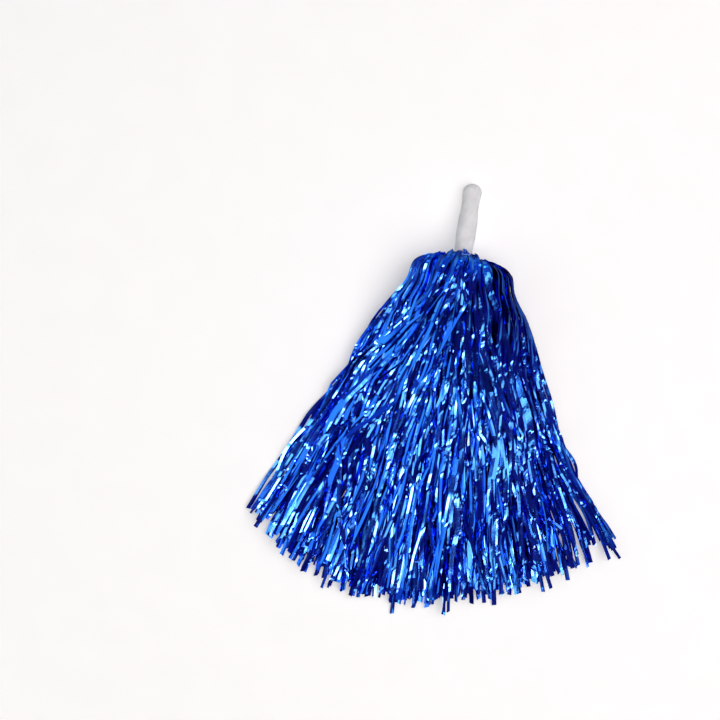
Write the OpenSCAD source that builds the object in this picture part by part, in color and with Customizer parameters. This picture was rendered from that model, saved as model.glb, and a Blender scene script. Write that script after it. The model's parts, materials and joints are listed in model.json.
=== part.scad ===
// Cheer pom pom lying on a table.
// A moulded stick handle, with its knob on the table, holds a gathered neck of
// foil ribbons. The ribbons fan out over the table as nine tufts.
// The origin is on the table under the middle of the tie. +Y points to the
// handle's knob, +Z is up. Every tuft lifts about one line, through the middle
// of the tie and along X.

/* [Fan of ribbons] */
// Length of the ribbons from the middle of the tie to their cut ends
ribbon_reach = 290; // [240:5:320]
// Angle of the fan's edge on the -X side, from the handle's line
fan_left = 25; // [24:0.5:32]
// Angle of the fan's edge on the +X side, from the handle's line
fan_right = 29.3; // [24:0.1:32]
// Distance from the tie back to the point that the fan's edges meet in
fan_apex = 81; // [70:1:95]
// Space between neighbouring tufts
tuft_gap = 2; // [1:0.5:3]
// Space between the upper and the lower hank of a tuft
hank_gap = 0.4; // [0.2:0.1:1]

/* [Height of the pile] */
// Height of the middle of the tie above the table
tie_height = 30; // [27:1:32]
// Height of the pile beside the neck
neck_pile = 52; // [44:1:58]
// Height of the pile one neck radius in front of the neck
shoulder_pile = 38; // [34:1:44]
// Height of the pile half way along the ribbons
middle_pile = 24; // [18:1:30]
// Height of the pile at the cut ends
end_pile = 13; // [8:1:18]
// Share of its height that the pile loses at the fan's edges
edge_loss = 0.3; // [0:0.05:0.4]

/* [Neck] */
// Radius of the ball of folded ribbons round the tie
neck_r = 33; // [31:0.5:34]
// Distance from the tie to the face that the handle comes out of
neck_back = 17; // [15:1:20]
// Clearance between the neck and the tufts
neck_clear = 0.5; // [0.3:0.1:1]

/* [Handle] */
// Distance along the handle from the middle of the tie to the knob's centre
knob_u = 73; // [65:1:85]
// Radius of the knob
knob_r = 8.35; // [7.5:0.05:8.5]
// Radius of the narrow part behind the knob
waist_r = 7.45; // [6.8:0.05:7.9]
// Radius of the swell that the hand holds
swell_r = 8.5; // [8.5:0.1:9.5]
// Radius where the handle goes into the ribbons
base_r = 7.55; // [7:0.05:8]
// Thickness of the handle's wall
wall = 1.5; // [1.2:0.1:2]
// Radius of the stem inside the neck
stem_r = 6; // [5.5:0.1:6.5]
// Radius of the two flanges that keep the ribbons on the stem
flange_r = 9.5; // [8.5:0.5:11]

/* [Tie] */
// Outer radius of the ribbons' middles where they are wound on the stem
roll_r = 14; // [13:0.5:15]
// Thickness of the tape wound over them
tape_t = 0.7; // [0.5:0.1:1]
// Width of the tape
tape_w = 18; // [14:1:20]
// Thickness of the cable tie's strap
strap_t = 1.3; // [1:0.1:1.6]
// Width of the cable tie's strap
strap_w = 4.8; // [3.6:0.2:6]

/* [Hidden] */
TUFTS = 9;

$fn = 96;
FINE = 240;
fit = 0.05;
far = 2 * ribbon_reach;

// the handle leans down until its knob touches the table
lean = asin((tie_height - knob_r) / knob_u);

// places along the handle, measured from the middle of the tie
waist_u = knob_u - 12.5;
swell_low_u = 31;
base_u = 17.5;
stem_end_u = -27;
flange_u = 11.5;
flange_w = 2.5;
shoulder_u = 22;
waist_arc_r = 72;

// the cable tie's head
head_size = [8, 9.5, 6.5];
tail_l = 9;
strap_r = roll_r + tape_t + strap_t;

// the hollow that the tie, the tape and the roll fill
hollow_r = strap_r + 0.3;
hollow_half = flange_u + flange_w + 0.3;
neck_back_r = 70;

tuft_angle = (fan_left + fan_right) / TUFTS;

// angle of the edge between tuft k and tuft k + 1, from the handle's line
function edge(k) = k * tuft_angle - fan_left;

// distance from the lifting line at which an edge with slope t meets a ball
// round the middle of the tie
function meets(ball, t) =
    let (a = 1 + t * t, b = fan_apex * t * t, c = b * fan_apex - ball * ball)
    b * b > a * c ? (sqrt(b * b - a * c) - b) / a : 0;

// slope of the tuft's edge that is nearer to the handle's line
function near_slope(k) =
    edge(k - 1) * edge(k) < 0 ? 0 : min(abs(tan(edge(k - 1))), abs(tan(edge(k))));

// share of the pile's height that tuft k keeps
function crown(k) = 1 - edge_loss * pow((edge(k - 0.5)) / max(fan_left, fan_right), 2);

module along_handle() {
    translate([0, 0, tie_height]) rotate([-90 - lean, 0, 0]) children();
}

module grip_outline(inset) {
    difference() {
        union() {
            translate([0, knob_u]) circle(r = knob_r - inset);
            translate([0, waist_u]) square([knob_r - inset, knob_u - waist_u]);
            translate([0, swell_low_u]) square([swell_r - inset, waist_u - swell_low_u]);
            polygon([
                [0, base_u],
                [base_r - inset, base_u],
                [swell_r - inset, swell_low_u],
                [0, swell_low_u]
            ]);
        }
        translate([waist_r - inset + waist_arc_r, waist_u])
            circle(r = waist_arc_r, $fn = FINE);
    }
}

module stem_outline() {
    translate([0, stem_end_u]) square([stem_r, base_u - stem_end_u]);
    for (side = [-1, 1])
        translate([0, side * (flange_u + flange_w / 2) - flange_w / 2])
            square([flange_r, flange_w]);
}

module handle() {
    color("gainsboro")
    along_handle()
    rotate_extrude()
    difference() {
        union() {
            grip_outline(0);
            stem_outline();
        }
        intersection() {
            grip_outline(wall);
            translate([0, shoulder_u]) square([swell_r, knob_u]);
        }
        translate([0, stem_end_u - 1]) square([stem_r - wall, shoulder_u - stem_end_u + 2]);
        translate([-knob_r, 0]) square([knob_r, 2 * knob_u]);
    }
}

// a ring round the handle's line, w wide, between two radii
module ring(r_in, r_out, w) {
    along_handle()
    rotate_extrude()
    translate([r_in, -w / 2])
    square([r_out - r_in, w]);
}

module ribbon_roll() {
    color("navy") ring(stem_r + fit, roll_r, 2 * (flange_u - fit));
}

module binding_tape() {
    color("whitesmoke") ring(roll_r + fit, roll_r + tape_t, tape_w);
}

module tie_head(grow) {
    along_handle()
    translate([roll_r + tape_t + head_size[0] / 2 + fit, 0, 0])
    cube(head_size + [grow, grow, grow], center = true);
}

module tie_tail(grow) {
    along_handle()
    translate([roll_r + tape_t + fit - grow / 2, head_size[1] / 2 - 1, -(strap_w + grow) / 2])
    cube([strap_t + grow, tail_l - head_size[1] / 2 + grow, strap_w + grow]);
}

module cable_tie() {
    color("white") {
        ring(roll_r + tape_t + fit, strap_r, strap_w);
        tie_head(0);
        tie_tail(0);
    }
}

module neck_fold() {
    color("midnightblue")
    difference() {
        intersection() {
            translate([0, 0, tie_height]) sphere(r = neck_r, $fn = FINE);
            translate([0, neck_back - neck_back_r, tie_height]) sphere(r = neck_back_r, $fn = FINE);
            translate([-neck_r, -neck_r, 0]) cube([2 * neck_r, 2 * neck_r, 3 * neck_r]);
        }
        along_handle() translate([0, 0, -hollow_half]) cylinder(r = hollow_r, h = 2 * hollow_half);
        along_handle() translate([0, 0, stem_end_u - fit]) cylinder(r = stem_r + fit, h = -stem_end_u);
        along_handle() cylinder(r = base_r + 0.4, h = knob_u);
        tie_head(0.4);
        tie_tail(0.4);
    }
}

// where tuft k lies: bounded by cones about the lifting line, so that it stays
// clear of its neighbours and of the neck at every angle of lift
module tuft_wedge(k) {
    low = tan(edge(k - 1));
    high = tan(edge(k));
    start = max(2, meets(neck_r + neck_clear, near_slope(k)));
    end_low = meets(ribbon_reach, low);
    end_high = meets(ribbon_reach, high);
    gap = tuft_gap / 2;
    translate([0, 0, tie_height])
    rotate([0, 90, 0])
    rotate_extrude($fn = FINE)
    polygon([
        [start, (start + fan_apex) * low + gap],
        [end_low, (end_low + fan_apex) * low + gap],
        [end_high, (end_high + fan_apex) * high - gap],
        [start, (start + fan_apex) * high - gap]
    ]);
}

// a slab along X whose side view is the given outline of [reach, height] points
module side_slab(outline) {
    translate([-far / 2, 0, 0])
    rotate([90, 0, 90])
    linear_extrude(height = far)
    polygon([for (p = outline) [-p[0], p[1]]]);
}

module lower_hank(k) {
    color("mediumblue")
    intersection() {
        tuft_wedge(k);
        side_slab([
            [0, 0],
            [ribbon_reach, 0],
            [ribbon_reach, end_pile * crown(k) / 2],
            [0, tie_height]
        ]);
    }
}

module upper_hank(k) {
    rise = crown(k);
    color("royalblue")
    intersection() {
        tuft_wedge(k);
        side_slab([
            [0, tie_height + hank_gap],
            [ribbon_reach, end_pile * rise / 2 + hank_gap],
            [ribbon_reach, end_pile * rise],
            [ribbon_reach / 2, middle_pile * rise],
            [2 * neck_r, shoulder_pile * rise],
            [neck_r, (neck_pile + shoulder_pile) * rise / 2],
            [0, neck_pile * rise]
        ]);
    }
}

handle();
ribbon_roll();
binding_tape();
cable_tie();
neck_fold();
lower_hank(1);  // tuft_1_lower
upper_hank(1);  // tuft_1_upper
lower_hank(2);  // tuft_2_lower
upper_hank(2);  // tuft_2_upper
lower_hank(3);  // tuft_3_lower
upper_hank(3);  // tuft_3_upper
lower_hank(4);  // tuft_4_lower
upper_hank(4);  // tuft_4_upper
lower_hank(5);  // tuft_5_lower
upper_hank(5);  // tuft_5_upper
lower_hank(6);  // tuft_6_lower
upper_hank(6);  // tuft_6_upper
lower_hank(7);  // tuft_7_lower
upper_hank(7);  // tuft_7_upper
lower_hank(8);  // tuft_8_lower
upper_hank(8);  // tuft_8_upper
lower_hank(9);  // tuft_9_lower
upper_hank(9);  // tuft_9_upper
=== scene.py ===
"""Looks for a foil cheer pom pom that lies on a table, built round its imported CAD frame."""
import json
import math

import bpy
import numpy as np
from mathutils import Matrix, Vector


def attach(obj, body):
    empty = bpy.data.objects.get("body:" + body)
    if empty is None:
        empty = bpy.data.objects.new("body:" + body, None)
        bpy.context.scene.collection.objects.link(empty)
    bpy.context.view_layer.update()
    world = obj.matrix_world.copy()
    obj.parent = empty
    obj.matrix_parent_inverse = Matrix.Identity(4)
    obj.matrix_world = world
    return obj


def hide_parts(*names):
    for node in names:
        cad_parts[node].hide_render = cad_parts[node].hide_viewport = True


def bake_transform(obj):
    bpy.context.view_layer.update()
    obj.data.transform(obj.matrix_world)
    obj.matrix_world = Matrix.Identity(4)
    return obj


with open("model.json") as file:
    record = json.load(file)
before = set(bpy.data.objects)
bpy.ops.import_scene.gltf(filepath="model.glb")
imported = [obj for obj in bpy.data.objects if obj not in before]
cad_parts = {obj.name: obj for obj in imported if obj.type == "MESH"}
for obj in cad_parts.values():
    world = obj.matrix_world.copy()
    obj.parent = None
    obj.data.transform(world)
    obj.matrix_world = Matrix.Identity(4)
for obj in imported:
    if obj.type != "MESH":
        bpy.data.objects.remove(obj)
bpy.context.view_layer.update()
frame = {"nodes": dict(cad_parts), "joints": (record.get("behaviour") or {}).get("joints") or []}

# ---------------------------------------------------------------- the object
# "forward" is the distance from the tie towards the cut ends, along -Y
ROOT = "handle_and_neck"
TIE = np.array(frame["joints"][0]["pos_m"])
TUFTS = 9
# angles of the fan's edges, how far behind the tie they meet, and the ribbons' reach
FAN_LEFT = math.radians(25)
FAN_RIGHT = math.radians(29.3)
FAN_APEX = 0.081
REACH = 0.286
# how far the handle leans down, and the neck's half width and half height
LEAN = math.radians(17.25)
NECK_HALF = 0.0485
NECK_RISE = 0.030

# a ribbon's width and length, its points, and how many of them lie in the neck
RIBBON_W = 0.004
RIBBON_L = 0.31
POINTS = 150
NECK_POINTS = 32

# height of the pile of ribbons at distances in front of the tie
PILE_AT = [0, 0.033, 0.066, 0.10, 0.145, 0.2, 0.27, 0.30]
PILE_HEIGHT = [0.058, 0.050, 0.041, 0.034, 0.028, 0.022, 0.017, 0.012]

# between these shares of the width the fan thins out, and ribbons hang in small bunches
RIM_START = 0.60
RIM_START_RIGHT = 0.50
RIM_END = 0.97
# how much narrower the left side is than its edge
LEFT_SHARE = 0.995
# share of ribbons left out at the very edge, on the left and on the right
THIN_LEFT = 0.78
THIN_RIGHT = 0.87
# how far the last ribbons on the right curl outwards
CURL = 0.019
# how far the right edge is drawn in half way down
TUCK = 0.006

# how far ribbons stray, in metres: creases sideways and upwards, long waves, and tips
CREASE_ASIDE = 0.0020
CREASE_UP = 0.0011
WAVE_ASIDE = 0.0055
TIP_SPREAD = 0.0015
# share of ribbons that are creased more, and by how much more
WILD_SHARE = 0.12
WILD = 2.6
# how far in front of the tie ribbons come down to the table
SETTLE = (0.062, 0.108)
# least height above the table of a ribbon's middle line and of its edges
LEAST_MIDDLE = 0.0007
LEAST_EDGE = 0.0003
# how much wider the few broad ribbons are
BROAD = 1.55

# every random number comes from here, in one fixed order
rng = np.random.default_rng(12)


def smooth(x, low, high):
    """0 up to low, 1 from high on, and a soft step between them."""
    t = np.clip((x - low) / (high - low), 0, 1)
    return t * t * (3 - 2 * t)


def edge_angle(q):
    """Angle of the fan's edge on the side that q is on."""
    return np.where(q < 0, FAN_LEFT, FAN_RIGHT)


def meets(ball, slope):
    """Where an edge of that slope meets a ball round the tie, as a forward distance."""
    a, b = 1 + slope**2, FAN_APEX * slope**2
    return (np.sqrt(b * b - a * (b * FAN_APEX - ball**2)) - b) / a


def round_share(q, forward):
    """Share of the width: even over the fan, but even round the neck near the tie."""
    near = np.sin(np.clip(q, -1, 1) * math.pi / 2)
    return near + (q - near) * smooth(forward, -0.005, 0.085)


def half_width(q, forward):
    """Half the fan's width on the side that q is on."""
    full = (np.maximum(forward, 0) + FAN_APEX) * np.tan(edge_angle(q))
    side = np.tan(edge_angle(q)) / math.tan(FAN_RIGHT)
    near = NECK_HALF * side**0.6
    return near + (full - near) * smooth(forward, -0.005, 0.032)


def half_height(q, forward):
    """Half the pile's height at that share of the fan's width."""
    power = 2 + 4 * smooth(forward, 0.0, 0.22)
    rim = np.sqrt(np.clip(1 - np.abs(q) ** power, 0, 1))
    pile = np.interp(forward, PILE_AT, PILE_HEIGHT) / 2 * rim
    neck = NECK_RISE * np.sqrt(np.clip(1 - q * q, 0, 1))
    return neck + (pile - neck) * smooth(forward, 0.0, 0.045)


def middle_height(q, forward, v, settle):
    """Height of the pile's middle: on the handle's line at the neck, low from settle on."""
    neck = TIE[2] + np.minimum(forward, 0) * math.tan(LEAN) * (1 - 0.6 * np.clip(v, 0, 1))
    flat = half_height(q, forward) + 0.0008
    return neck + (flat - neck) * smooth(forward, 0.0, settle)


def spline(knots, count):
    """Catmull-Rom curves through knots, (ribbons, knots, values), each at count points."""
    last = knots.shape[1] - 1
    u = np.linspace(0, last, count)
    i = np.minimum(u.astype(int), last - 1)
    t = (u - i)[None, :, None]
    a, b = knots[:, np.maximum(i - 1, 0)], knots[:, i]
    c, d = knots[:, i + 1], knots[:, np.minimum(i + 2, last)]
    return 0.5 * (
        2 * b
        + (c - a) * t
        + (2 * a - 5 * b + 4 * c - d) * t**2
        + (3 * b - a - 3 * c + d) * t**3
    )


def waves(count, points, lengths, height):
    """Smooth random waves along ribbons: a sum of sines with lengths in metres."""
    s = np.linspace(0, RIBBON_L, points)[None, :]
    total = np.zeros((count, points))
    for length in lengths:
        k = 2 * math.pi / (length * rng.uniform(0.75, 1.35, (count, 1)))
        size = height * rng.uniform(0.3, 1.0, (count, 1)) * length / max(lengths)
        total += size * np.sin(k * s + rng.uniform(0, 2 * math.pi, (count, 1)))
    return total


def knots_along(count, number):
    """Places along each ribbon, roughly even, where it may bend."""
    start = rng.uniform(0, 1, (count, 1))
    at = (np.arange(number) + rng.uniform(0, 0.7, (count, number))) / number + start
    return np.sort(at % 1, 1) * RIBBON_L


def facets(count, points, number, size, bend):
    """Values that stay level along a ribbon and then step to another level."""
    s = np.linspace(0, RIBBON_L, points)[None, :]
    levels = rng.normal(0, size, (count, number + 1))
    at = knots_along(count, number)
    total = np.repeat(levels[:, :1], points, 1)
    for k in range(number):
        width = rng.uniform(bend * 0.4, bend, (count, 1))
        step = (levels[:, k + 1] - levels[:, k])[:, None]
        total += step * smooth(s, at[:, k : k + 1], at[:, k : k + 1] + width)
    return total


def kinks(count, points, number, size):
    """Straight runs between random levels, as a creased ribbon lies."""
    s = np.linspace(0, RIBBON_L, points)
    rows = [np.interp(s, at, rng.normal(0, size, number)) for at in knots_along(count, number)]
    return np.array(rows)


# how a ribbon leaves the tie: (forward, share of the neck's half size)
OVER_THE_TIE = [
    (0.001, 0.25), (-0.007, 0.34), (-0.0112, 0.53), (-0.0098, 0.74),
    (-0.0045, 0.89), (0.004, 0.96), (0.016, 0.985), (0.030, 1.0),
]
STRAIGHT_ON = [
    (0.004, 0.22), (0.012, 0.30), (0.022, 0.45), (0.034, 0.62),
    (0.048, 0.80), (0.062, 0.92), (0.076, 0.98), (0.092, 1.0),
]


def through_the_neck(way, depth, back):
    """The first part of each ribbon: forward, and share of the neck's half size."""
    count = len(depth)
    knots = np.repeat(np.array(way)[None], count, 0)
    loose = 1 + rng.normal(0, 0.07, (count, len(way)))
    knots[:, :, 0] *= np.where(knots[:, :, 0] < 0, back[:, None] * loose, 1)
    fade = np.linspace(1, 0, len(way))[None, :]
    knots[:, :, 1] *= 1 - depth[:, None] * fade**0.6
    return knots[:, -1, 0][:, None], spline(knots, NECK_POINTS)


def edge_shape(q, forward):
    """How far the right edge curls out at its end and is drawn in half way down."""
    curl = CURL * smooth(q, 0.80, 1.0) * smooth(forward, 0.15, 0.24)
    waist = smooth(forward, 0.04, 0.09) * (1 - smooth(forward, 0.15, 0.21))
    return curl - TUCK * smooth(q, 0.5, 1.0) * waist


def centre_lines(q_start, q_end, v, way, depth, end, back, sweep, leave=0.01):
    """Where ribbons run: x, y, z of each point.

    q is a ribbon's place across the fan, -1 to 1; v its place in the pile, -1 at the
    table and 1 on top; way how it leaves the tie; depth how deep it lies in the neck;
    back how far it folds back over the handle; it goes from q_start to q_end between
    leave and sweep.
    """
    count = len(v)
    first, neck = through_the_neck(way, depth, back)
    steps = np.linspace(0, 1, POINTS - NECK_POINTS + 1)[None, 1:]
    forward = np.hstack([neck[:, :, 0], first + (end[:, None] - first) * steps])
    size = np.hstack([neck[:, :, 1], np.ones((count, POINTS - NECK_POINTS))])
    along = np.clip((forward - leave) / (sweep[:, None] - leave), 0, 1)
    along = along + (smooth(along, 0, 1) - along) * 0.5
    q = q_start[:, None] + (q_end - q_start)[:, None] * along
    free = smooth(forward, 0.015, 0.14)
    calm = 1 - 0.6 * smooth(np.abs(q), RIM_START, RIM_END)
    wild = np.where(rng.uniform(0, 1, (count, 1)) < WILD_SHARE, WILD, 1.0)
    share = round_share(q, forward)
    x = share * half_width(q, forward) * size + edge_shape(q, forward)
    x = x + kinks(count, POINTS, 9, CREASE_ASIDE) * wild * calm * (0.50 + 0.50 * free)
    x = x + waves(count, POINTS, [0.30, 0.15], WAVE_ASIDE) * free * calm
    settle = rng.uniform(*SETTLE, (count, 1))
    share = np.clip(share, -1, 1)
    lift = half_height(share, forward) * v[:, None] * size
    z = middle_height(share, forward, v[:, None], settle) + lift
    z = z + kinks(count, POINTS, 10, CREASE_UP) * (0.4 + 0.6 * free)
    z = z + rng.normal(0, TIP_SPREAD, (count, 1)) * smooth(forward, 0.22, 0.29)
    return np.stack([x, -forward, np.maximum(z, LEAST_MIDDLE)], -1)


def unit(v):
    """Vectors of the same direction and of length 1."""
    return v / np.maximum(np.linalg.norm(v, axis=-1, keepdims=True), 1e-12)


def across(lines, twist):
    """The direction of each ribbon's width, turned by twist from lying flat."""
    tangent = unit(np.gradient(lines, axis=1))
    middle = TIE + np.zeros_like(lines)
    middle[..., 1] = np.clip(lines[..., 1], -0.02, 0.02)
    round_neck = unit(lines - middle)
    up = np.array([0.0, 0.0, 1.0])
    share = 1 - smooth(-lines[..., 1], 0.0, 0.13)[..., None]
    outward = unit(up * (1 - share) + round_neck * share)
    flat = unit(np.cross(tangent, outward))
    normal = np.cross(flat, tangent)
    c, s = np.cos(twist)[..., None], np.sin(twist)[..., None]
    return flat * c + normal * s, normal * c - flat * s


def strip_points(lines, widths, twist, fold, slant):
    """Three points across each ribbon, folded lengthwise by the angle fold."""
    side, normal = across(lines, twist)
    half = widths[:, None, None] / 2
    lift = half * np.sin(fold)[..., None] * normal
    half = half * np.cos(fold)[..., None] * side
    rows = np.stack([lines - half, lines + lift, lines + half], 2)
    cut = unit(lines[:, -1] - lines[:, -2]) * (slant * widths)[:, None]
    rows[:, -1, 0] += cut
    rows[:, -1, 2] -= cut
    rows[..., 2] = np.maximum(rows[..., 2], LEAST_EDGE)
    return rows


def strip_faces(count, points):
    """Corners of the two rows of faces along each ribbon."""
    start = (np.arange(count) * points * 3)[:, None, None]
    step = (np.arange(points - 1) * 3)[None, :, None]
    a = start + step + np.arange(2)[None, None, :]
    return np.stack([a, a + 1, a + 4, a + 3], -1).reshape(-1, 4)


def strip_places(lines, widths):
    """Place of each point on its flat ribbon: across it, and along it."""
    count, points = lines.shape[:2]
    step = np.linalg.norm(np.diff(lines, axis=1), axis=-1)
    length = np.concatenate([np.zeros((count, 1)), np.cumsum(step, 1)], 1)
    u = np.broadcast_to(np.array([-0.5, 0, 0.5]) * widths[:, None, None], (count, points, 3))
    w = np.broadcast_to((length + rng.uniform(0, 9, (count, 1)))[..., None], u.shape)
    return np.stack([u, w], -1).reshape(-1, 2)


def strip_mesh(name, found, shown=POINTS):
    """One piece made of all ribbons of a group, up to the point number shown."""
    lines = found["lines"][:, :shown]
    twist, fold = found["twist"][:, :shown], found["fold"][:, :shown]
    rows = strip_points(lines, found["width"], twist, fold, found["slant"])
    faces = strip_faces(*lines.shape[:2])
    mesh = bpy.data.meshes.new(name)
    mesh.from_pydata(rows.reshape(-1, 3).tolist(), [], faces.tolist())
    mesh.shade_flat()
    place = strip_places(lines, found["width"])
    layer = mesh.uv_layers.new(name="UVMap")
    layer.data.foreach_set("uv", place[faces.reshape(-1)].astype(np.float32).ravel())
    tint = mesh.attributes.new("tint", "FLOAT", "POINT")
    each = np.repeat(found["tint"], lines.shape[1] * 3)
    tint.data.foreach_set("value", each.astype(np.float32))
    piece = bpy.data.objects.new(name, mesh)
    bpy.context.scene.collection.objects.link(piece)
    return piece


# ---------------------------------------------------------------- materials
def material(name):
    """A material with its node tree, its Principled shader and a node maker."""
    made = bpy.data.materials.new(name)
    made.use_nodes = True
    tree = made.node_tree
    shader = tree.nodes["Principled BSDF"]

    def node(kind, **values):
        n = tree.nodes.new(kind)
        for key, value in values.items():
            if key in n.inputs:
                n.inputs[key].default_value = value
            else:
                setattr(n, key, value)
        return n

    return made, shader, node, tree.links.new


def ramp(node, stops):
    """A colour ramp with the given (place, colour) stops."""
    made = node("ShaderNodeValToRGB")
    made.color_ramp.elements[0].position = stops[0][0]
    made.color_ramp.elements[0].color = stops[0][1]
    made.color_ramp.elements[1].position = stops[-1][0]
    made.color_ramp.elements[1].color = stops[-1][1]
    for place, colour in stops[1:-1]:
        made.color_ramp.elements.new(place).color = colour
    return made


def span(node, link, value, low, high, first, last):
    """A number that goes from first to last while value goes from low to high."""
    made = node("ShaderNodeMapRange")
    made.inputs["From Min"].default_value = low
    made.inputs["From Max"].default_value = high
    made.inputs["To Min"].default_value = first
    made.inputs["To Max"].default_value = last
    link(value, made.inputs["Value"])
    return made.outputs["Result"]


def along_ribbon(node, link, scale, detail, roughness):
    """Noise on the flat ribbon, stretched by scale."""
    uv = node("ShaderNodeUVMap", uv_map="UVMap")
    place = node("ShaderNodeMapping", vector_type="POINT")
    place.inputs["Scale"].default_value = scale
    noise = node("ShaderNodeTexNoise", Scale=1.0, Detail=detail, Roughness=roughness)
    link(uv.outputs["UV"], place.inputs["Vector"])
    link(place.outputs["Vector"], noise.inputs["Vector"])
    return noise.outputs["Fac"]


def foil_material():
    """Metallised blue film: crisp, crinkled and a little different on each ribbon."""
    made, shader, node, link = material("blue_foil")
    shader.inputs["Metallic"].default_value = 1
    shader.inputs["Coat Weight"].default_value = 0.3
    shader.inputs["Coat Roughness"].default_value = 0.06
    colour = ramp(node, [
        (0.0, (0.010, 0.125, 0.72, 1)),
        (0.5, (0.014, 0.185, 0.80, 1)),
        (1.0, (0.022, 0.255, 0.86, 1)),
    ])
    tint = node("ShaderNodeAttribute", attribute_name="tint")
    patch = along_ribbon(node, link, (220, 22, 1), 3.0, 0.6)
    shade = node("ShaderNodeMath", operation="ADD")
    link(tint.outputs["Fac"], shade.inputs[0])
    link(span(node, link, patch, 0.3, 0.7, -0.35, 0.35), shade.inputs[1])
    link(shade.outputs["Value"], colour.inputs["Fac"])
    link(colour.outputs["Color"], shader.inputs["Base Color"])
    crinkle = along_ribbon(node, link, (60, 130, 1), 3.0, 0.55)
    bump = node("ShaderNodeBump", Strength=0.08, Distance=0.0012)
    link(crinkle, bump.inputs["Height"])
    link(bump.outputs["Normal"], shader.inputs["Normal"])
    link(span(node, link, crinkle, 0, 1, 0.05, 0.16), shader.inputs["Roughness"])
    return made


def plastic_material(name, light, dark, rough, grain):
    """Moulded plastic with a cloudy colour and a faint skin texture."""
    made, shader, node, link = material(name)
    shader.inputs["Subsurface Weight"].default_value = 0.25
    shader.inputs["Subsurface Radius"].default_value = (0.004, 0.004, 0.004)
    shader.inputs["Specular IOR Level"].default_value = 0.25
    place = node("ShaderNodeTexCoord")
    cloud = node("ShaderNodeTexNoise", Scale=95.0, Detail=4.0, Roughness=0.6)
    link(place.outputs["Object"], cloud.inputs["Vector"])
    colour = ramp(node, [(0.35, (*dark, 1)), (0.62, (*light, 1))])
    link(cloud.outputs["Fac"], colour.inputs["Fac"])
    link(colour.outputs["Color"], shader.inputs["Base Color"])
    shine = span(node, link, cloud.outputs["Fac"], 0, 1, rough - 0.08, rough + 0.12)
    link(shine, shader.inputs["Roughness"])
    skin = node("ShaderNodeTexNoise", Scale=900.0, Detail=2.0)
    link(place.outputs["Object"], skin.inputs["Vector"])
    bump = node("ShaderNodeBump", Strength=grain, Distance=0.0003)
    link(skin.outputs["Fac"], bump.inputs["Height"])
    link(bump.outputs["Normal"], shader.inputs["Normal"])
    return made


FOIL = foil_material()
HANDLE_PLASTIC = plastic_material(
    "milky_plastic", (0.97, 0.97, 0.96), (0.85, 0.85, 0.84), 0.38, 0.25
)
NYLON = plastic_material("white_nylon", (0.83, 0.82, 0.78), (0.72, 0.71, 0.67), 0.45, 0.2)
TAPE = plastic_material("clear_tape", (0.75, 0.76, 0.78), (0.60, 0.61, 0.64), 0.25, 0.1)


def paint(piece, made):
    """Give a piece one material."""
    piece.data.materials.clear()
    piece.data.materials.append(made)


# ---------------------------------------------------------------- ribbons
def tuft_of(q):
    """Number of the tuft, from 1, that a place across the fan belongs to."""
    angle = np.arctan(q * np.tan(edge_angle(q)))
    share = (angle + FAN_LEFT) / (FAN_LEFT + FAN_RIGHT)
    return np.clip((share * TUFTS).astype(int) + 1, 1, TUFTS)


def stray(count):
    """How far ribbons drift across the fan: most a little, a few a lot."""
    kind = rng.uniform(0, 1, count)
    size = np.where(kind < 0.5, 0.08, np.where(kind < 0.86, 0.20, 0.38))
    return rng.normal(0, 1, count) * size


def ends(q):
    """Where ribbons are cut: a ball round the tie, shorter at the sides and right of the middle."""
    short = np.where(q < 0, 0.055, 0.080) * q**2 + 0.026 * np.exp(-(((q - 0.42) / 0.22) ** 2))
    ball = REACH * (1 - short) + rng.normal(0, 0.0065, len(q))
    return meets(ball, q * np.tan(edge_angle(q)))


def crown(q):
    """How far ribbons fold back over the handle: most in front of it, less beside it."""
    loops = 0.32 * (rng.uniform(0, 1, len(q)) < 0.08) * (np.abs(q + 0.2) < 0.45)
    return np.minimum(0.74 + 0.33 * np.exp(-((q / 0.28) ** 2)) + loops, 1.2)


def group(count, way, v_low, v_high, depth, spread):
    """Ribbons that leave the tie the same way, evenly over the fan."""
    angle = (np.arange(count) + rng.uniform(0, 1, count)) / count
    angle = angle * (FAN_LEFT + FAN_RIGHT) - FAN_LEFT
    side = np.where(angle < 0, FAN_LEFT, FAN_RIGHT)
    q = np.tan(angle) / np.tan(side)
    rim = smooth(np.abs(q), np.where(q < 0, RIM_START, RIM_START_RIGHT), RIM_END)
    thin = np.where(q < 0, THIN_LEFT, THIN_RIGHT) * rim
    q = (q + 0.032 * rim * np.sin(75 * q))[rng.uniform(0, 1, count) > thin]
    q = np.where(q < 0, q * LEFT_SHARE, q)
    count = len(q)
    rng.shuffle(q)
    drift = stray(count) * (1 - 0.7 * smooth(np.abs(q), RIM_START, RIM_END))
    sweep = np.full(count, REACH)
    q_start = np.clip(q - drift * 0.5, -1, 1)
    q_end = np.clip(q + drift * 0.5, -1.03, 1.0)
    v = rng.uniform(v_low, v_high, count)
    back = crown(q_start) * np.clip(1 + rng.normal(0, spread, count), 0.5, 1.3)
    end = ends(q_end)
    under = depth[0] + (depth[1] - depth[0]) * rng.uniform(0, 1, count)
    lines = centre_lines(q_start, q_end, v, way, under, end, back, sweep)
    return {"lines": lines, "q": (q_start + q_end) / 2, "v": v}


def swept(count, q_from, q_to):
    """Ribbons on top of the pile that cross the others near the tie."""
    q_end = rng.uniform(*q_to, count)
    q_start = q_end + (rng.uniform(*q_from, count) - q_end) * rng.uniform(0.5, 1, count)
    v = rng.uniform(0.90, 1.06, count)
    sweep = rng.uniform(0.08, 0.16, count)
    back = rng.uniform(0.80, 1.25, count)
    none = np.zeros(count)
    lines = centre_lines(
        q_start, q_end, v, OVER_THE_TIE, none, ends(q_end), back, sweep, leave=-0.012
    )
    return {"lines": lines, "q": q_end, "v": v}


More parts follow.
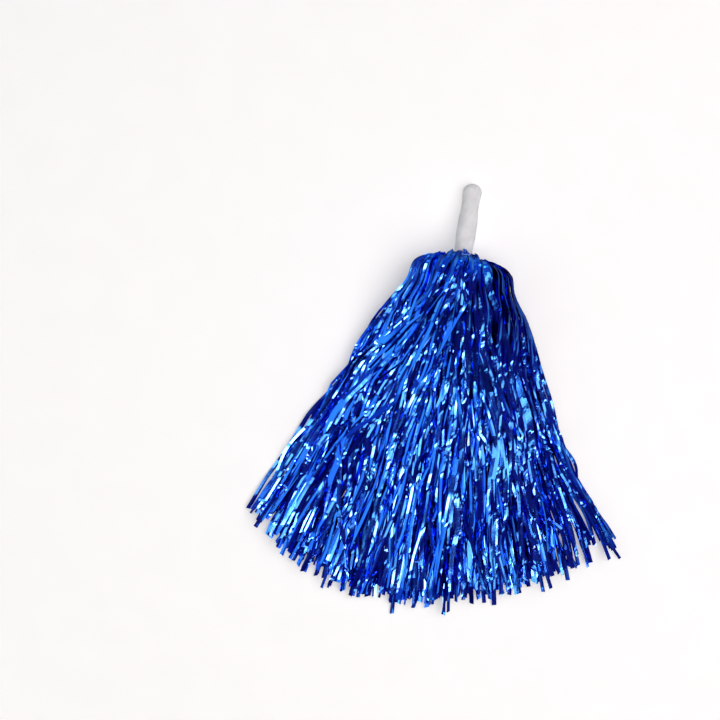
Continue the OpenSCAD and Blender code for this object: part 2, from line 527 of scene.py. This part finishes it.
def strays(count, side):
    """Ribbons at one edge of the fan that bow out of it somewhere on their way."""
    q = side * rng.uniform(0.86, 1.0, count)
    v = rng.uniform(-0.4, 0.6, count)
    back = rng.uniform(0.6, 0.8, count)
    sweep = np.full(count, REACH)
    end = ends(q) + rng.uniform(-0.004, 0.010, count)
    lines = centre_lines(q, q, v, OVER_THE_TIE, np.zeros(count), end, back, sweep)
    forward = -lines[..., 1]
    middle = rng.uniform(0.04, 0.25, (count, 1))
    long = rng.uniform(0.012, 0.035, (count, 1))
    bow = rng.uniform(0.002, 0.008, (count, 1)) * np.exp(-(((forward - middle) / long) ** 2))
    lines[..., 0] += side * bow
    return {"lines": lines, "q": q, "v": v}


def dress(found, fold=0.25, wide=0.03):
    """Width, twist, lengthwise fold, tint and cut of each ribbon of a group."""
    count = len(found["q"])
    broad = rng.uniform(0, 1, count) < wide
    found["width"] = RIBBON_W * np.where(broad, BROAD, 1.0) * rng.uniform(0.88, 1.08, count)
    forward = -found["lines"][..., 1]
    right = smooth(found["q"], -0.1, 0.4)[:, None]
    near = 1 - smooth(forward, 0.03 + 0.03 * right, 0.13 + 0.06 * right)
    fine = 1 - 0.75 * smooth(forward, 0.14, 0.22)
    turn = rng.normal(0, 0.40, (count, 1)) + facets(count, POINTS, 6, 0.24, 0.010)
    turn = turn * (1 - (0.12 + 0.64 * right) * near)
    turn = turn + facets(count, POINTS, 14, 0.11, 0.005) * fine
    flip_at = rng.uniform(0.03, 0.6, (count, 1))
    turn = turn + smooth(forward, flip_at, flip_at + rng.uniform(0.03, 0.14, (count, 1))) * math.pi
    found["twist"] = np.where(broad[:, None], turn * 0.4 - 0.42, turn)
    shut = np.abs(rng.normal(0, fold, (count, 1))) + facets(count, POINTS, 8, 0.12, 0.008)
    shut = shut + np.where(rng.uniform(0, 1, (count, 1)) < 0.18, 0.8, 0)
    shut = shut * (1 - 0.6 * right * near) + (0.40 - 0.32 * right) * near
    found["fold"] = np.clip(shut * np.where(broad, 0.1, 1.0)[:, None], -0.3, 1.25)
    found["tint"] = np.clip(rng.normal(0.45, 0.22, count), 0, 1)
    found["slant"] = rng.normal(0, 0.12, count)
    return found


def pick(groups, keep):
    """The ribbons of all groups for which keep(group) holds, as one group."""
    return {k: np.concatenate([g[k][keep(g)] for g in groups]) for k in groups[0]}


def hanks(groups):
    """A piece for each upper and lower hank of each tuft."""
    for number in range(1, TUFTS + 1):
        for level in ("lower", "upper"):
            body, node = f"tuft_{number}", f"tuft_{number}_{level}"
            found = pick(
                groups,
                lambda g: (tuft_of(g["q"]) == number) & ((g["v"] > 0) == (level == "upper")),
            )
            piece = strip_mesh(f"ribbons_{number}_{level}", found)
            paint(piece, FOIL)
            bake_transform(piece)
            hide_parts(node)


def neck_ribbons():
    """Short ribbons that fill the fold under the long ones."""
    found = dress(group(110, OVER_THE_TIE, -0.95, 0.95, (0.10, 0.34), 0.05))
    piece = strip_mesh("neck_ribbons", found, NECK_POINTS - 5)
    paint(piece, FOIL)
    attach(piece, ROOT)
    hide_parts("neck_fold")


# ---------------------------------------------------------------- handle
# the parting line: where it is, how high, and how wide as an angle; depth of the dents
SEAM = math.radians(62)
RIDGE = 0.00040
RIDGE_WIDE = 0.09
DENT = 0.00010
# length of the knob's round end
KNOB_END = 0.0079
# (distance along the handle from the tie, radius)
HANDLE_OUTLINE = [
    (0.0035, 0.0062), (0.009, 0.0066), (0.0175, 0.00755), (0.0235, 0.0079), (0.0300, 0.00835),
    (0.0360, 0.0085), (0.0430, 0.0085), (0.0490, 0.00825), (0.0545, 0.0078),
    (0.0605, 0.00745), (0.0655, 0.00765), (0.0700, 0.00815), (0.0735, 0.00835),
]


def handle_radii():
    """(distance, radius) along the handle, closed by a round knob."""
    knots = np.array(HANDLE_OUTLINE)[None]
    body = spline(knots, 70)[0]
    knob_u, knob_r = HANDLE_OUTLINE[-1]
    turn = np.linspace(0, math.pi / 2, 16)[1:]
    cap = np.stack([knob_u + KNOB_END * np.sin(turn), knob_r * np.cos(turn)], -1)
    return np.concatenate([body, cap])


def handle_rings():
    """Points of the blow-moulded stick, ring by ring, with the mould's parting line."""
    outline = handle_radii()
    turn = np.linspace(0, 2 * math.pi, 97)[:-1]
    near = np.concatenate([SEAM + k * math.pi + np.linspace(-0.24, 0.24, 17) for k in (0, 1)])
    turn = np.sort(np.concatenate([turn, near % (2 * math.pi)]))
    off = np.minimum(np.abs(turn - SEAM), np.abs(turn - SEAM - math.pi))
    ridge = RIDGE * np.exp(-((off / RIDGE_WIDE) ** 2))
    u, r = outline[:, 0][:, None], outline[:, 1][:, None]
    flare = np.clip(r / 0.007, 0, 1)
    dents = DENT * np.sin(u * 420 + 2 * np.sin(3 * turn)) * flare
    radius = np.maximum(r + (ridge + dents) * flare, 0)
    return np.stack([radius * np.cos(turn), u + 0 * turn, radius * np.sin(turn)], -1)


def handle_stick():
    """The stick handle, tilted so that its knob touches the table."""
    ring = handle_rings()
    count, sides = ring.shape[:2]
    a = np.arange(count - 1)[:, None] * sides + np.arange(sides)[None]
    b = np.arange(count - 1)[:, None] * sides + np.roll(np.arange(sides), -1)[None]
    faces = np.stack([a, a + sides, b + sides, b], -1).reshape(-1, 4)
    mesh = bpy.data.meshes.new("stick_handle")
    mesh.from_pydata(ring.reshape(-1, 3).tolist(), [], faces.tolist())
    mesh.shade_smooth()
    piece = bpy.data.objects.new("stick_handle", mesh)
    bpy.context.scene.collection.objects.link(piece)
    place = Matrix.Translation(Vector(TIE)) @ Matrix.Rotation(-LEAN, 4, "X")
    mesh.transform(place)
    paint(piece, HANDLE_PLASTIC)
    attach(piece, ROOT)
    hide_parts("handle")


# ---------------------------------------------------------------- stage
FLOOR_SIDE = 12
WALL_R = 2.6
# width that the picture shows, the point at its middle, and how far the camera is turned
SEEN = 0.626
CENTRE = Vector((-0.0728, -0.0904, 0.02))
TURNED = math.radians(9.5)


def floor():
    """A pale table that glows more further out, so that it has no horizon."""
    bpy.ops.mesh.primitive_plane_add(size=FLOOR_SIDE, location=(0, 0, -0.0005))
    plane = bpy.context.object
    plane.name = "floor"
    made, shader, node, link = material("pale_floor")
    shader.inputs["Roughness"].default_value = 0.75
    shader.inputs["Specular IOR Level"].default_value = 0.2
    shader.inputs["Emission Color"].default_value = (1, 1, 1, 1)
    place = node("ShaderNodeTexCoord")
    away = node("ShaderNodeVectorMath", operation="LENGTH")
    link(place.outputs["Object"], away.inputs[0])
    glow = span(node, link, away.outputs["Value"], 0.5, 2.4, 0.30, 0.84)
    link(glow, shader.inputs["Emission Strength"])
    grain = node("ShaderNodeTexNoise", Scale=35.0, Detail=3.0)
    link(place.outputs["Object"], grain.inputs["Vector"])
    colour = ramp(node, [(0.3, (0.87, 0.86, 0.84, 1)), (0.7, (0.90, 0.89, 0.87, 1))])
    link(grain.outputs["Fac"], colour.inputs["Fac"])
    link(colour.outputs["Color"], shader.inputs["Base Color"])
    plane.visible_glossy = False
    paint(plane, made)


def backdrop():
    """A pale round wall behind everything, which gives no light and no reflection."""
    bpy.ops.mesh.primitive_uv_sphere_add(segments=64, ring_count=32, radius=WALL_R)
    wall = bpy.context.object
    wall.name = "backdrop"
    made, shader, node, link = material("pale_wall")
    place = node("ShaderNodeTexCoord")
    grain = node("ShaderNodeTexNoise", Scale=0.6, Detail=1.0)
    link(place.outputs["Object"], grain.inputs["Vector"])
    colour = ramp(node, [(0.3, (0.985, 0.985, 0.985, 1)), (0.7, (1, 1, 1, 1))])
    link(grain.outputs["Fac"], colour.inputs["Fac"])
    link(colour.outputs["Color"], shader.inputs["Emission Color"])
    shader.inputs["Emission Strength"].default_value = 1
    shader.inputs["Base Color"].default_value = (0, 0, 0, 1)
    shader.inputs["Specular IOR Level"].default_value = 0
    wall.visible_diffuse = False
    wall.visible_glossy = False
    wall.visible_transmission = False
    wall.visible_shadow = False
    paint(wall, made)


def between(tree, value, low, high, first, last):
    """A colour that goes from first to last while value goes from low to high."""
    share = span(tree.nodes.new, tree.links.new, value, low, high, 0, 1)
    mix = tree.nodes.new("ShaderNodeMixRGB")
    tree.links.new(share, mix.inputs["Fac"])
    for colour, socket in ((first, mix.inputs["Color1"]), (last, mix.inputs["Color2"])):
        if isinstance(colour, tuple):
            socket.default_value = (*colour, 1)
        else:
            tree.links.new(colour, socket)
    return mix.outputs["Color"]


def ceiling(tree, place):
    """Soft patches overhead, blue to dark violet from the left to the right, and behind."""
    link = tree.links.new
    lean = tree.nodes.new("ShaderNodeMapping")
    lean.inputs["Rotation"].default_value = (math.radians(32), math.radians(-30), 0)
    leaning = tree.nodes.new("ShaderNodeSeparateXYZ")
    patches = tree.nodes.new("ShaderNodeTexNoise")
    patches.inputs["Scale"].default_value = 3.0
    patches.inputs["Detail"].default_value = 1.0
    uneven = tree.nodes.new("ShaderNodeMath")
    uneven.operation = "MULTIPLY_ADD"
    uneven.inputs[1].default_value = 0.9
    overhead = ramp(tree.nodes.new, [
        (0.45, (0.20, 0.22, 0.56, 1)),
        (0.85, (0.26, 0.070, 0.36, 1)),
        (1.0, (0.12, 0.020, 0.18, 1)),
    ])
    behind = ramp(tree.nodes.new, [
        (0.35, (0.20, 0.26, 0.66, 1)),
        (0.95, (0.035, 0.050, 0.28, 1)),
    ])
    link(place, lean.inputs["Vector"])
    link(lean.outputs["Vector"], leaning.inputs["Vector"])
    link(place, patches.inputs["Vector"])
    link(patches.outputs["Fac"], uneven.inputs[0])
    link(leaning.outputs["Z"], uneven.inputs[2])
    link(uneven.outputs["Value"], overhead.inputs["Fac"])
    link(patches.outputs["Fac"], behind.inputs["Fac"])
    return overhead.outputs["Color"], behind.outputs["Color"]


def sky():
    """The room that the foil mirrors: pale along the horizon, dark above and below it."""
    world = bpy.data.worlds.new("room")
    bpy.context.scene.world = world
    world.use_nodes = True
    tree = world.node_tree
    place = tree.nodes.new("ShaderNodeTexCoord").outputs["Generated"]
    along = tree.nodes.new("ShaderNodeSeparateXYZ")
    tree.links.new(place, along.inputs["Vector"])
    overhead, behind = ceiling(tree, place)
    y, z = along.outputs["Y"], along.outputs["Z"]
    above = between(tree, y, -0.25, -0.60, overhead, (0.07, 0.02, 0.10))
    above = between(tree, y, 0.15, 0.60, above, behind)
    below = between(tree, z, -0.45, 0.0, (0.10, 0.12, 0.24), (0.72, 0.72, 0.75))
    room = between(tree, z, 0.06, 0.13, below, above)
    tree.links.new(room, tree.nodes["Background"].inputs["Color"])
    world.cycles_visibility.diffuse = False


def softbox(name, place, size, radiance, shows_in="everything", turned=None):
    """An even lamp of a red, green and blue radiance that faces the object."""
    light = bpy.data.lights.new(name, "AREA")
    light.shape = "RECTANGLE"
    light.size, light.size_y = size
    light.color = [part / max(radiance) for part in radiance]
    light.energy = max(radiance) * math.pi * size[0] * size[1]
    lamp = bpy.data.objects.new(name, light)
    lamp.location = place
    lamp.rotation_euler = turned or (0, math.atan2(place[0], place[2]), 0)
    lamp.visible_camera = False
    lamp.visible_diffuse = shows_in != "gloss"
    lamp.visible_glossy = shows_in != "matt"
    bpy.context.scene.collection.objects.link(lamp)


def camera():
    """Straight above, turned so that the handle leans to the right."""
    data = bpy.data.cameras.new("camera")
    data.lens = 85
    distance = SEEN * data.lens / data.sensor_width
    eye = bpy.data.objects.new("camera", data)
    eye.location = CENTRE + Vector((0, 0, distance))
    eye.rotation_euler = (0, 0, TURNED)
    bpy.context.scene.collection.objects.link(eye)
    bpy.context.scene.camera = eye


camera()
floor()
sky()
backdrop()
# name, place, size across and along Y, radiance, where it shows, and turn
softbox("left", (-1.85, -0.55, 1.55), (2.0, 1.9), (0.75, 0.88, 0.88))
softbox("over_left", (-0.45, -0.5, 2.0), (0.34, 1.5), (6.0, 3.4, 2.2), "gloss")
softbox("spark_left", (-0.95, -0.08, 1.5), (0.13, 2.56), (45.0, 16.0, 14.0), "gloss")
softbox("right", (1.2, 0.08, 1.7), (0.16, 1.84), (6.0, 3.4, 2.2), "gloss")
softbox("spark_right", (0.55, -0.05, 1.9), (0.08, 2.1), (45.0, 16.0, 14.0), "gloss")
softbox("behind", (0, 1.9, 0.95), (1.8, 0.10), (4.0, 4.6, 6.0), "gloss", (-1.107, 0, 0))
softbox("fill", (0.7, -0.1, 2.3), (2.6, 2.6), (2.7, 2.62, 2.66), "matt")

# top, bottom and middle of the pile, ribbons that cross on top, and ones that bow out
groups = [
    dress(group(270, OVER_THE_TIE, 0.42, 1.0, (0.0, 0.16), 0.16)),
    dress(group(185, OVER_THE_TIE, -1.0, -0.5, (0.0, 0.16), 0.10)),
    dress(group(220, STRAIGHT_ON, -0.6, 0.5, (0.0, 0.3), 0.0)),
    dress(swept(34, (-0.1, 0.35), (-0.93, -0.35)), 0.15, 0.22),
    dress(swept(12, (-0.2, 0.2), (-0.3, 0.8)), 0.2, 0.1),
    dress(strays(11, -1), 0.4, 0.0),
    dress(strays(13, 1), 0.4, 0.0),
]
hanks(groups)
neck_ribbons()
handle_stick()
for name, made in (("ribbon_roll", FOIL), ("binding_tape", TAPE), ("cable_tie", NYLON)):
    paint(frame["nodes"][name], made)

bpy.context.scene.view_settings.view_transform = "Standard"
